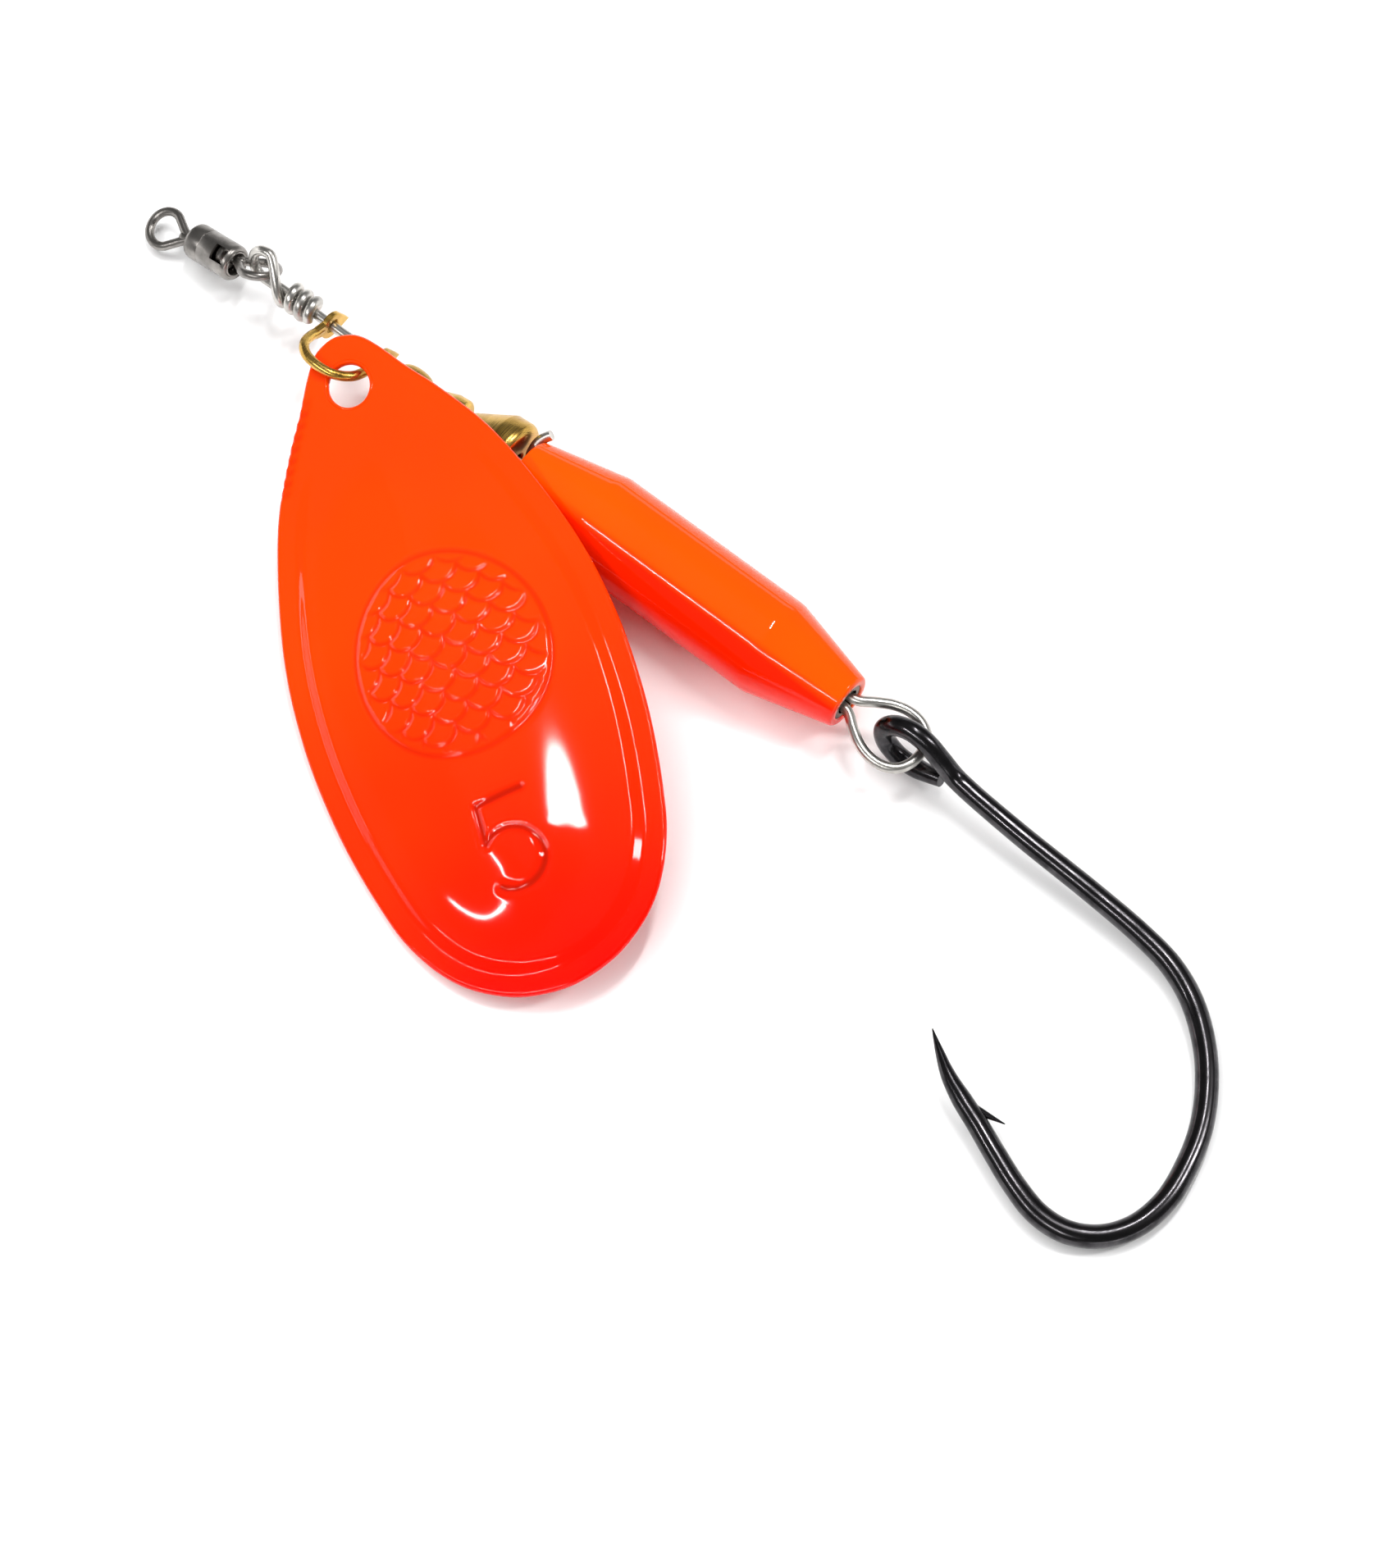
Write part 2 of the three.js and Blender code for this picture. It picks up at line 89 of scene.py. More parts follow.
SWIVEL_MIDDLE = Vector((-62.9, -0.17, 2.47))
BARREL_FRONT = Vector((-65.25, -0.14, 1.95))
HOOK_THROAT = Vector((9.55, 0.6, 2.95))


# Mesh helpers. Every piece is designed in millimetres and placed in metres.

def on_shaft(x, y, z):
    """A point given from the shaft's axis, as one above the table."""
    return Vector((x, y, z + SHAFT_Z))


def piece(name, parts, body, material, replaces=(), sharp=SMOOTH_ANGLE):
    """One object from (vertices in mm, faces) shells, riding on a body."""
    vertices = []
    faces = []
    for shell_vertices, shell_faces in parts:
        start = len(vertices)
        vertices += [Vector(v) * MM + ORIGIN for v in shell_vertices]
        faces += [[start + i for i in face] for face in shell_faces]
    mesh = bpy.data.meshes.new(name)
    mesh.from_pydata(vertices, [], faces)
    mesh.validate()
    mesh.polygons.foreach_set("use_smooth", [True] * len(mesh.polygons))
    mesh.set_sharp_from_angle(angle=sharp)
    mesh.materials.append(material)
    obj = bpy.data.objects.new(name, mesh)
    bpy.context.scene.collection.objects.link(obj)
    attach(obj, body)
    if replaces:
        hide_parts(*replaces)
    return obj


def cut(obj, shell):
    """Takes a closed shell, in mm, out of an object."""
    vertices, faces = shell
    mesh = bpy.data.meshes.new("cutter")
    mesh.from_pydata([Vector(v) * MM + ORIGIN for v in vertices], [], faces)
    cutter = bpy.data.objects.new("cutter", mesh)
    bpy.context.scene.collection.objects.link(cutter)
    modifier = obj.modifiers.new("cut", "BOOLEAN")
    modifier.operation = "DIFFERENCE"
    modifier.object = cutter
    modifier.solver = "EXACT"
    bpy.context.view_layer.objects.active = obj
    bpy.ops.object.modifier_apply(modifier="cut")
    bpy.data.objects.remove(cutter, do_unlink=True)


def moved(shell, matrix):
    """A shell with a matrix applied to its vertices."""
    vertices, faces = shell
    return [matrix @ Vector(v) for v in vertices], faces


def centripetal(points, per_span):
    """Points on a centripetal Catmull-Rom curve through the given ones."""
    given = [Vector(p) for p in points]
    ends = [given[0] * 2 - given[1], *given, given[-1] * 2 - given[-2]]
    line = []
    for i in range(1, len(ends) - 2):
        p0, p1, p2, p3 = ends[i - 1:i + 3]
        t1 = (p1 - p0).length ** 0.5
        t2 = t1 + (p2 - p1).length ** 0.5
        t3 = t2 + (p3 - p2).length ** 0.5
        for step in range(per_span):
            t = t1 + (t2 - t1) * step / per_span
            a1 = p0.lerp(p1, t / t1)
            a2 = p1.lerp(p2, (t - t1) / (t2 - t1))
            a3 = p2.lerp(p3, (t - t2) / (t3 - t2))
            b1 = a1.lerp(a2, t / t2)
            b2 = a2.lerp(a3, (t - t1) / (t3 - t1))
            line.append(b1.lerp(b2, (t - t1) / (t2 - t1)))
    line.append(given[-1].copy())
    return line


ROUND_END_ANGLES = (35, 62, 80)


def bent_bar(points, radius_at, sides=20, per_span=4, round_ends=0.0):
    """A closed round bar along a curve. radius_at takes the share of the way along the points."""
    line = centripetal(points, per_span)
    last = len(line) - 1
    across = None
    vertices = []
    for i, centre in enumerate(line):
        tangent = (line[min(i + 1, last)] - line[max(i - 1, 0)]).normalized()
        if across is None:
            across = tangent.orthogonal().normalized()
        across = (across - tangent * across.dot(tangent)).normalized()
        other = tangent.cross(across)
        radius = radius_at(i / last)
        rings = [(centre, radius)]
        if round_ends and i in (0, last):
            out = -tangent if i == 0 else tangent
            extra = [(centre + out * radius * round_ends * math.sin(a), radius * math.cos(a))
                     for a in map(math.radians, ROUND_END_ANGLES)]
            rings = [*reversed(extra), *rings] if i == 0 else [*rings, *extra]
        for middle, size in rings:
            for side in range(sides):
                angle = 2 * math.pi * side / sides
                vertices.append(middle + (across * math.cos(angle) + other * math.sin(angle)) * size)
    rows = len(vertices) // sides
    faces = [list(reversed(range(sides))), list(range((rows - 1) * sides, rows * sides))]
    for row in range(rows - 1):
        for side in range(sides):
            a = row * sides + side
            b = row * sides + (side + 1) % sides
            faces.append([a, b, b + sides, a + sides])
    return vertices, faces


def arc(centre_x, centre_r, radius_x, radius_r, start, end, steps=6):
    """Points of a turned profile's round stretch, as (x, r), from one angle to another in degrees."""
    angles = [math.radians(start + (end - start) * i / steps) for i in range(steps + 1)]
    return [(centre_x + radius_x * math.cos(a), centre_r + radius_r * math.sin(a)) for a in angles]


def turned(profile, sides=96):
    """A closed ring of a profile of (x, r) points, turned about the X axis, in (x, y, z)."""
    count = len(profile)
    vertices = []
    for side in range(sides):
        angle = 2 * math.pi * side / sides
        vertices += [(x, r * math.cos(angle), r * math.sin(angle)) for x, r in profile]
    faces = []
    for side in range(sides):
        here = side * count
        there = (side + 1) % sides * count
        for i in range(count):
            j = (i + 1) % count
            faces.append([here + i, there + i, there + j, here + j])
    return vertices, faces


def ring_shell(rows):
    """A closed ring from rows of points, each row joined to the next and the last to the first."""
    count = len(rows[0])
    vertices = [v for row in rows for v in row]
    faces = []
    for row in range(len(rows)):
        here = row * count
        there = (row + 1) % len(rows) * count
        for i in range(count):
            j = (i + 1) % count
            faces.append([here + i, here + j, there + j, there + i])
    return vertices, faces


def raised(shell):
    """A shell made about the X axis, lifted onto the shaft's axis."""
    return moved(shell, Matrix.Translation((0, 0, SHAFT_Z)))


def aimed(start, end, side):
    """A placing matrix at start, with X towards end and Y near side."""
    along = (end - start).normalized()
    up = along.cross(side).normalized()
    across = up.cross(along)
    return Matrix.Translation(start) @ Matrix((along, across, up)).transposed().to_4x4()


# Materials

def shader(name, color, metallic, roughness):
    """A new material and its Principled node."""
    material = bpy.data.materials.new(name)
    material.use_nodes = True
    surface = material.node_tree.nodes["Principled BSDF"]
    surface.inputs["Base Color"].default_value = (*color, 1)
    surface.inputs["Metallic"].default_value = metallic
    surface.inputs["Roughness"].default_value = roughness
    return material, surface


def texture(material, kind, scale, stretch=(1, 1, 1), **settings):
    """A texture node in object space, in metres, stretched along the axes."""
    nodes = material.node_tree.nodes
    links = material.node_tree.links
    place = nodes.new("ShaderNodeTexCoord")
    mapping = nodes.new("ShaderNodeMapping")
    mapping.inputs["Scale"].default_value = stretch
    node = nodes.new(kind)
    node.inputs["Scale"].default_value = scale
    for key, value in settings.items():
        node.inputs[key].default_value = value
    links.new(place.outputs["Object"], mapping.inputs["Vector"])
    links.new(mapping.outputs["Vector"], node.inputs["Vector"])
    return node.outputs[0]


def ramp(material, value, low, high, start=0.3, end=0.7):
    """A colour ramp between two colours, or two greys given as numbers."""
    node = material.node_tree.nodes.new("ShaderNodeValToRGB")
    for element, at, color in zip(node.color_ramp.elements, (start, end), (low, high)):
        element.position = at
        element.color = (*color, 1) if isinstance(color, tuple) else (color, color, color, 1)
    material.node_tree.links.new(value, node.inputs["Fac"])
    return node.outputs["Color"]


def bump(material, surface, value, height, strength):
    """Raises a value by up to height, in mm."""
    node = material.node_tree.nodes.new("ShaderNodeBump")
    node.inputs["Strength"].default_value = strength
    node.inputs["Distance"].default_value = height * MM
    material.node_tree.links.new(value, node.inputs["Height"])
    material.node_tree.links.new(node.outputs["Normal"], surface.inputs["Normal"])


def orange_paint_and_shade(name, near, far, shade_toward, start, end):
    """Sprayed fluorescent enamel under clear coat, with painted shade: redder one way, darker red in the
    stamping, and a faint painted glow.
    """
    material, surface = shader(name, near, 0.0, 0.35)
    nodes, links = material.node_tree.nodes, material.node_tree.links
    # The colour turns redder along the given direction: painted shade.
    place = nodes.new("ShaderNodeTexCoord")
    along = nodes.new("ShaderNodeVectorMath")
    along.operation = "DOT_PRODUCT"
    along.inputs[1].default_value = shade_toward
    links.new(place.outputs["Object"], along.inputs[0])
    share = nodes.new("ShaderNodeMapRange")
    share.inputs["From Min"].default_value = start
    share.inputs["From Max"].default_value = end
    links.new(along.outputs["Value"], share.inputs["Value"])
    drift = texture(material, "ShaderNodeTexNoise", 70, Detail=2.0)
    total = nodes.new("ShaderNodeMath")
    total.operation = "MULTIPLY_ADD"
    total.inputs[1].default_value = 0.35
    links.new(drift, total.inputs[0])
    links.new(share.outputs["Result"], total.inputs[2])
    color = ramp(material, total.outputs["Value"], near, far, 0.17, 1.17)
    # The stamping's grooves are mixed towards dark red: painted shade in the recesses.
    stamp = nodes.new("ShaderNodeAttribute")
    stamp.attribute_name = "stamp"
    groove_painted_shade = nodes.new("ShaderNodeMix")
    groove_painted_shade.data_type = "RGBA"
    links.new(stamp.outputs["Fac"], groove_painted_shade.inputs["Factor"])
    links.new(color, groove_painted_shade.inputs["A"])
    groove_painted_shade.inputs["B"].default_value = (0.4, 0.006, 0.0, 1)
    links.new(groove_painted_shade.outputs["Result"], surface.inputs["Base Color"])
    peel = texture(material, "ShaderNodeTexNoise", 900, Detail=1.0)
    bump(material, surface, peel, 0.012, 0.3)
    surface.inputs["Specular IOR Level"].default_value = 0.0
    surface.inputs["Coat Weight"].default_value = 1.0
    surface.inputs["Coat Roughness"].default_value = 0.06
    surface.inputs["Coat IOR"].default_value = 1.34
    # A faint painted glow, which keeps the shaded sides bright orange.
    surface.inputs["Emission Color"].default_value = (1.0, 0.03, 0.0, 1)
    surface.inputs["Emission Strength"].default_value = 0.06
    return material


def turned_brass(name, low, high):
    """Bare brass with lathe lines round the axis, tarnish in patches and a soft polish."""
    material, surface = shader(name, high, 1.0, 0.28)
    patches = texture(material, "ShaderNodeTexNoise", 420, Detail=4.0)
    color = ramp(material, patches, low, high, 0.35, 0.7)
    material.node_tree.links.new(color, surface.inputs["Base Color"])
    lines = texture(material, "ShaderNodeTexNoise", 1.0, (16000, 300, 300), Detail=2.0)
    rough = ramp(material, lines, 0.2, 0.42, 0.3, 0.75)
    material.node_tree.links.new(rough, surface.inputs["Roughness"])
    bump(material, surface, lines, 0.01, 0.5)
    return material


def drawn_wire(name, low, high, rough_low, rough_high):
    """Drawn stainless wire: a soft mottle of tint and polish, with a very fine grain."""
    material, surface = shader(name, high, 1.0, rough_low)
    mottle = texture(material, "ShaderNodeTexNoise", 700, Detail=3.0)
    color = ramp(material, mottle, low, high, 0.35, 0.65)
    material.node_tree.links.new(color, surface.inputs["Base Color"])
    rough = ramp(material, mottle, rough_high, rough_low, 0.3, 0.7)
    material.node_tree.links.new(rough, surface.inputs["Roughness"])
    grain = texture(material, "ShaderNodeTexNoise", 4500, Detail=2.0)
    bump(material, surface, grain, 0.004, 0.2)
    return material


def plated(name, low, high, rough, speck):
    """Dark nickel plate: glossy, with a mottled tint and fine specks."""
    material, surface = shader(name, high, 1.0, rough)
    mottle = texture(material, "ShaderNodeTexNoise", speck, Detail=5.0, Roughness=0.65)
    color = ramp(material, mottle, low, high, 0.35, 0.7)
    material.node_tree.links.new(color, surface.inputs["Base Color"])
    roughness = ramp(material, mottle, rough * 1.5, rough * 0.8, 0.3, 0.7)
    material.node_tree.links.new(roughness, surface.inputs["Roughness"])
    bump(material, surface, mottle, 0.01, 0.35)
    return material


# The blade's paint turns redder along one direction: painted shade.
BLADE_PAINT_AND_SHADE = orange_paint_and_shade("blade_paint_and_shade", (0.88, 0.045, 0.0), (0.84, 0.001, 0.0), (0.8, -0.6, 0),
                           -0.014, 0.026)
# The body's paint turns redder on its low side: painted shade.
BODY_PAINT_AND_SHADE = orange_paint_and_shade("body_paint_and_shade", (0.9, 0.08, 0.0), (0.86, 0.012, 0.0), BODY_PAINTED_SHADE_SIDE,
                          BODY_AXIS + 0.0003, BODY_AXIS + 0.0015)
BRASS = turned_brass("turned_brass", (0.47, 0.275, 0.055), (0.76, 0.49, 0.125))
# The bore's brass is nearly black: painted shade inside the bore.
BORE_BRASS_PAINTED_SHADE = turned_brass("bore_brass_painted_shade", (0.05, 0.03, 0.015), (0.16, 0.1, 0.04))
STEEL = drawn_wire("stainless_wire", (0.42, 0.405, 0.38), (0.68, 0.66, 0.62), 0.26, 0.4)
SWIVEL_NICKEL = plated("swivel_nickel", (0.2, 0.188, 0.176), (0.36, 0.34, 0.32), 0.3, 600)
BLACK_NICKEL = plated("black_nickel", (0.03, 0.029, 0.031), (0.085, 0.081, 0.086), 0.19, 700)


# Pieces

def shaft_wire():
    """The whole wire: wraps, front loop, shaft, rear loop and the end that comes back through the body."""
    points = []
    per_turn = 8
    for step in range(WRAPS["turns"] * per_turn, -1, -1):
        angle = step / per_turn * 2 * math.pi
        x = WRAPS["front"] + WRAPS["pitch"] * step / per_turn
        points.append((x, -WRAPS["radius"] * math.cos(angle), -WRAPS["radius"] * math.sin(angle)))
    points += [(-55.75, -0.7, 0.6), (-56.2, -0.3, 1.2), (-56.8, 0.25, 1.75)]
    for degrees in range(80, 281, 20):
        turn = math.radians(degrees)
        up = FRONT_LOOP["up"] + FRONT_LOOP["radius"] * math.sin(turn)
        x = FRONT_LOOP["x"] + FRONT_LOOP["radius"] * math.cos(turn)
        points.append((x, up * math.sin(FRONT_LOOP["lean"]), up * math.cos(FRONT_LOOP["lean"])))
    points += [(-56.7, -0.05, -0.1), (-56.0, 0, 0), (-55.3, 0, 0), (-51, 0, 0), (-45, 0, 0), (-39, 0, 0)]
    points += [(-33.4, 0, 0), (-32.5, -0.03, 0), (-31.9, -0.11, 0), (-31.4, -0.24, 0), (-30.9, -0.38, 0)]
    points += [(-30.3, -0.45, 0), (-29, -0.45, 0), (-20, -0.45, 0), (-10, -0.45, 0), (-1, -0.45, 0)]
    half = [(0.4, 0.6), (1.5, 1.36), (2.75, 2.1), (3.95, 2.4), (5.05, 2.28), (5.95, 1.75), (6.42, 0.9)]
    points += [(x, -y, -REAR_LOOP_DROOP * x) for x, y in half]
    points.append((6.55, 0, -REAR_LOOP_DROOP * 6.55))
    points += [(x, y, -REAR_LOOP_DROOP * x) for x, y in reversed(half)]
    end_x, side, bend, lift = WIRE_END.values()
    points += [(x, side, 0) for x in (-1, -10, -20, -29, end_x)]
    turned_out = [(end_x - bend * math.sin(turn), bend * (1 - math.cos(turn)))
                  for turn in map(math.radians, (22.5, 45, 67.5, 90))]
    for x, out in (*turned_out, (-31.48, 1.6), (-31.25, 2.2), (-30.85, 2.75)):
        points.append((x, side + out * math.cos(lift), out * math.sin(lift)))
    bar = bent_bar([on_shaft(*p) for p in points], lambda along: WIRE_RADIUS, 20, 5)
    piece("wire_shaft", [bar], "shaft", STEEL, ["shaft_wire"])


def body():
    """The painted body, bare brass where the bore breaks out, and the bore's wall, dark with painted
    shade.
    """
    length, radius, nose, tail, bore = BODY.values()
    front, rear = BODY_STRAIGHT
    lip = bore + BODY_LIP
    edge = 0.3
    inner = 0.15
    blend = 3.0
    paint = [(0.45 - length, bore + 0.03), (-length, bore + 0.45)]
    paint += arc(edge - length, nose - edge, edge, edge, 180, 95)
    paint += arc(front, radius - blend, blend, blend, 99, 90, 5)
    paint += arc(rear, radius - blend, blend, blend, 90, 79, 5)
    paint += arc(-edge, tail - edge, edge, edge, 78, 0)
    paint += arc(-inner, lip + inner, inner, inner, 0, -90, 4)
    paint += [(-edge, lip), (-edge, bore + 0.03)]
    piece("body_paint_and_shade", [raised(turned(paint, 128))], "shaft", BODY_PAINT_AND_SHADE, ["body"])
    # The bore's wall and lip take the darkened brass: painted shade.
    sleeve = [(-0.1, bore), (0.48 - length, bore), (0.48 - length, bore + 0.03), (-0.31, bore + 0.03)]
    sleeve += [(-0.29, lip - 0.01), (-0.1, lip - 0.01)]
    piece("body_bore", [raised(turned(sleeve[::-1], 64))], "shaft", BORE_BRASS_PAINTED_SHADE)


def bearing(name, size, node):
    """The bell or the hub: a cone, a faint crease, a nearly straight rim and a round corner."""
    rear, radius, corner = size["rear"], size["radius"], size["corner"]
    profile = [(size["front"] + 0.12, BEARING_BORE), (size["front"], BEARING_BORE + 0.12)]
    profile += [(size["front"], size["nose"] - 0.1), (size["front"] + 0.1, size["nose"])]
    profile += [(size["rim"] - 0.08, radius - 0.12), (size["rim"] + 0.02, radius - 0.07)]
    profile += arc(rear - corner, radius - corner, corner, corner, 90, 0, 12)
    profile += [(rear, BEARING_BORE + 0.12), (rear - 0.12, BEARING_BORE)]
    piece(name, [raised(turned(profile))], node, BRASS, [node])


def bead():
    """A round bead with a bore."""
    middle = (BEAD["front"] + BEAD["rear"]) / 2
    half = (BEAD["rear"] - BEAD["front"]) / 2
    profile = [(BEAD["rear"], BEARING_BORE), (BEAD["front"], BEARING_BORE)]
    profile += arc(middle, 0.8, half, BEAD["radius"] - 0.8, 180, 0, 18)
    piece("brass_bead", [raised(turned(profile))], "bead", BRASS, ["bearing_bead"])


def ear(x):
    """A flattened ear, square to X, as a plate ring between its outline and its hole."""
    tip = math.radians(60)
    neck = math.radians(150)
    steps = 10
    outline = [(EAR["tip"], 0)]
    outline += [(EAR["radius"] * math.cos(tip + (neck - tip) * i / steps),
                 EAR["radius"] * math.sin(tip + (neck - tip) * i / steps)) for i in range(steps + 1)]
    outline.append((-EAR["neck_end"], EAR["neck"]))
    outline += [(y, -z) for y, z in reversed(outline[1:])]
    angles = [math.atan2(z, y) for y, z in outline]
    hole = [(EAR["hole"] * math.cos(a), EAR["hole"] * math.sin(a)) for a in angles]
    half = EAR["thickness"] / 2
    edge = 0.07
    rings = []
    for offset, grow, source in ((-half, -edge, outline), (edge - half, 0, outline),
                                 (half - edge, 0, outline), (half, -edge, outline),
                                 (half, edge, hole), (half - edge, 0, hole),
                                 (edge - half, 0, hole), (-half, edge, hole)):
        scaled = [(y + grow * math.cos(a), z + grow * math.sin(a)) for (y, z), a in zip(source, angles)]
        rings.append([(x + offset, y, z) for y, z in scaled])
    return ring_shell(rings)


def clevis():
    """A round wire bow between two flattened ears."""
    half, corner, reach = CLEVIS["half"], CLEVIS["corner"], CLEVIS["reach"]
    side = [(-half, -1.0, 0), (-half, -(1.0 + reach - corner) / 2, 0)]
    for step in range(5):
        angle = step / 4 * math.pi / 2
        out = reach - corner + corner * math.sin(angle)
        side.append((-half + corner * (1 - math.cos(angle)), -out, 0))
    points = side + [(-x, y, z) for x, y, z in reversed(side)]
    bow = bent_bar(points, lambda s: CLEVIS["wire"] - 0.12 * max(0, 1 - 12 * min(s, 1 - s)), 20, 6)
    place = Matrix.Translation((CLEVIS["x"], 0, SHAFT_Z)) @ Matrix.Rotation(-CLEVIS["tilt"], 4, "X")
    parts = [moved(shell, place) for shell in (bow, ear(-half), ear(half))]
    piece("clevis_stirrup", parts, "clevis", BRASS, ["clevis"])


# Share of the blade's length, and of its half width there.
BLADE_EDGE = [(0, 0), (0.007, 0.11), (0.016, 0.16), (0.036, 0.226), (0.084, 0.35), (0.13, 0.48),
              (0.22, 0.69), (0.35, 0.874), (0.45, 0.965), (0.55, 1), (0.63, 0.993), (0.71, 0.959),
              (0.8, 0.886), (0.855, 0.82), (0.909, 0.704), (0.945, 0.578), (0.972, 0.424),
              (0.99, 0.258), (1, 0)]


def smoothstep(value, low, high):
    """0 below low, 1 above high and smooth between."""
    t = np.clip((value - low) / (high - low), 0, 1)
    return t * t * (3 - 2 * t)


def blade_outline(count):
    """The blade's edge as count points of (along, across), evenly spaced."""
    half = BLADE["width"] / 2
    right = [(a * BLADE["length"] - BLADE["above"], share * half, 0) for a, share in BLADE_EDGE]
    left = [(a, -b, 0) for a, b, _ in reversed(right[1:-1])]
    loop = right + left
    per_span = 24
    line = np.array([v[:2] for v in centripetal(loop[-2:] + loop + loop[:3], per_span)])
    line = line[2 * per_span:-2 * per_span - 1]
    closed = np.r_[line, line[:1]]
    steps = np.r_[0, np.cumsum(np.hypot(*np.diff(closed, axis=0).T))]
    at = np.linspace(0, steps[-1], count, endpoint=False)
    return np.c_[np.interp(at, steps, closed[:, 0]), np.interp(at, steps, closed[:, 1])]


def line_distance(points, line):
    """Distance from each point to an open polyline."""
    nearest = np.full(len(points), 1e9)
    for a, b in zip(line[:-1], line[1:]):
        along = b - a
        t = np.clip(((points - a) @ along) / (along @ along), 0, 1)
        nearest = np.minimum(nearest, np.hypot(*(points - a - t[:, None] * along).T))
    return nearest


def edge_distance(points, outline):
    """Distance from each point to the closed outline."""
    return line_distance(points, np.r_[outline, outline[:1]])


def figure_five():
    """The size number as one line of (along, across), top bar first."""
    middle_a, middle_b = FIGURE["middle"]
    bar = [(-3.5, 2.0), (-3.35, -1.6), (-0.55, -1.85)]
    bowl = [(1.2 + 2.25 * math.sin(t), -0.3 + 2.35 * math.cos(t))
            for t in np.radians(np.linspace(-132, 132, 23))]
    return np.array([(middle_a + a, middle_b + b) for a, b in bar + bowl])


def file_marks(points, inward):
    """Depth of the short file marks on the blade's left edge, beside its hole."""
    depth, pitch, reach = FILE_MARKS.values()
    along, across = points.T
    beside = (smoothstep(along, -0.5, 0.5) - smoothstep(along, 6.0, 7.0)) * (across < 0)
    teeth = 0.5 + 0.5 * np.cos(along * 2 * math.pi / pitch)
    return depth * beside * (1 - smoothstep(inward, reach / 2, reach)) * teeth


def scale_pattern(points):
    """Depth of a stamped patch of overlapping fish scales, 0 to 1."""
    local = points - np.array(SCALES["middle"])
    half_along, half_across = SCALES["half"]
    pitch = SCALES["pitch"]
    reach = np.hypot(local[:, 0] / half_along, local[:, 1] / half_across)
    depth = np.zeros(len(points))
    for row in range(-8, 9):
        shift = pitch / 2 if row % 2 else 0
        for column in range(-6, 7):
            centre = np.array((row * pitch / 2, column * pitch + shift))
            offset = local - centre
            ring = np.abs(np.hypot(*offset.T) - pitch / 2)
            lower = smoothstep(offset[:, 0], -0.15, 0.25)
            depth = np.maximum(depth, np.exp(-(ring / 0.16) ** 2) * lower)
    patch = 1 - smoothstep(reach, 0.86, 1.0)
    border = np.abs(reach - 1) * (half_along + half_across) / 2
    return np.maximum(depth * patch, np.exp(-(border / 0.2) ** 2))


def blade_height(points, outline):
    """Height of the blade's bulging face over its rim plane."""
    inward = edge_distance(points, outline)
    upper = smoothstep(points[:, 0], 1.0, 22.0)
    step = BLADE_RIM["step"] * smoothstep(inward, BLADE_RIM["flat"], BLADE_RIM["to"])
    across = np.abs(points[:, 1] - BLADE["aside"]) / (BLADE["width"] / 2)
    along = np.abs(points[:, 0] - BLADE_DOME["middle"]) / BLADE_DOME["half"]
    crown = np.clip(1 - across ** 2 - along ** 2.2 * 0.8, 0, 1)
    bulge = smoothstep(inward, BLADE_DOME["from"], BLADE_DOME["to"]) * (0.35 + 0.65 * crown)
    return (step + BLADE_DOME["height"] * bulge) * upper


def stamp_depth(points, outline):
    """Depth of everything that is struck or filed into the blade's face."""
    off_line = line_distance(points, figure_five()) / FIGURE["stroke"]
    figure = FIGURE["depth"] * np.exp(-off_line ** 2)
    marks = file_marks(points, edge_distance(points, outline))
    return figure + SCALES["depth"] * scale_pattern(points) + marks


def blade_matrix():
    """Places the blade's (along, across, out) at its hole's centre."""
    along = BLADE_ALONG.normalized()
    across = BLADE_OUT.cross(along).normalized()
    out = along.cross(across)
    place = Matrix((along, across, out)).transposed().to_4x4()
    return Matrix.Translation(BLADE_HOLE["centre"]) @ place


def edge_round(points, outline):
    """How far the plate's faces fall away near its round edge."""
    out = 1 - np.clip(edge_distance(points, outline) / BLADE_ROUND, 0, 1)
    return 0.22 * (1 - np.sqrt(np.clip(1 - out ** 2, 0, 1)))


